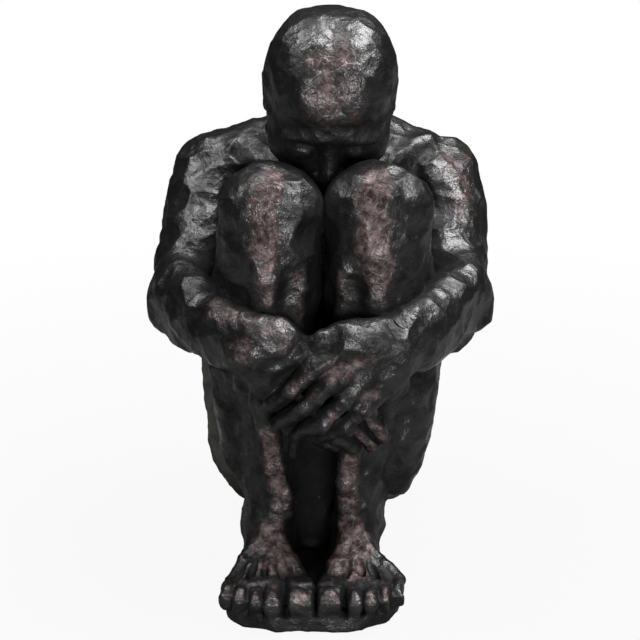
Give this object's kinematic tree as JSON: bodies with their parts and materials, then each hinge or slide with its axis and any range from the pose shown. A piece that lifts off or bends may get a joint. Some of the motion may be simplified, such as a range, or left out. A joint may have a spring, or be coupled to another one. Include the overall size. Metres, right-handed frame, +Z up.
{
  "type": "seated figure figurine",
  "caption": "Seated resin figure with drawn-up knees, bowed head and clasped hands, hollow cast in dowelled pieces with a dark bronze-look patina, standing on felt pads.",
  "frame": {"origin": "on the floor, under the middle of the figure's box", "axes": "+Z up, the figure faces -Y and its left side is +X"},
  "size_m": [0.1866, 0.234, 0.3021],
  "materials": {
    "patina_resin": "near-black bronze-look paint, satin, rubbed to copper on the high points",
    "bare_resin": "unpainted, matt",
    "plug_rubber": "matt",
    "dowel_steel": "plain drawn rod",
    "pad_felt": "pressed felt"
  },
  "bodies": {
    "root": {"torso": "patina_resin", "head": "patina_resin", "right_arm": "patina_resin", "left_arm": "patina_resin", "right_hand": "patina_resin", "left_hand": "patina_resin", "right_leg": "patina_resin", "left_leg": "patina_resin", "foot_plinth": "patina_resin", "base_plate": "bare_resin", "fill_plug": "plug_rubber", "neck_dowel": "dowel_steel", "right_shoulder_dowel": "dowel_steel", "left_shoulder_dowel": "dowel_steel", "right_wrist_dowel": "dowel_steel", "left_wrist_dowel": "dowel_steel", "right_hip_dowel": "dowel_steel", "left_hip_dowel": "dowel_steel", "right_foot_dowel": "dowel_steel", "left_foot_dowel": "dowel_steel", "right_seat_pad": "pad_felt", "left_seat_pad": "pad_felt", "right_plinth_pad": "pad_felt", "left_plinth_pad": "pad_felt"}
  },
  "joints": []
}
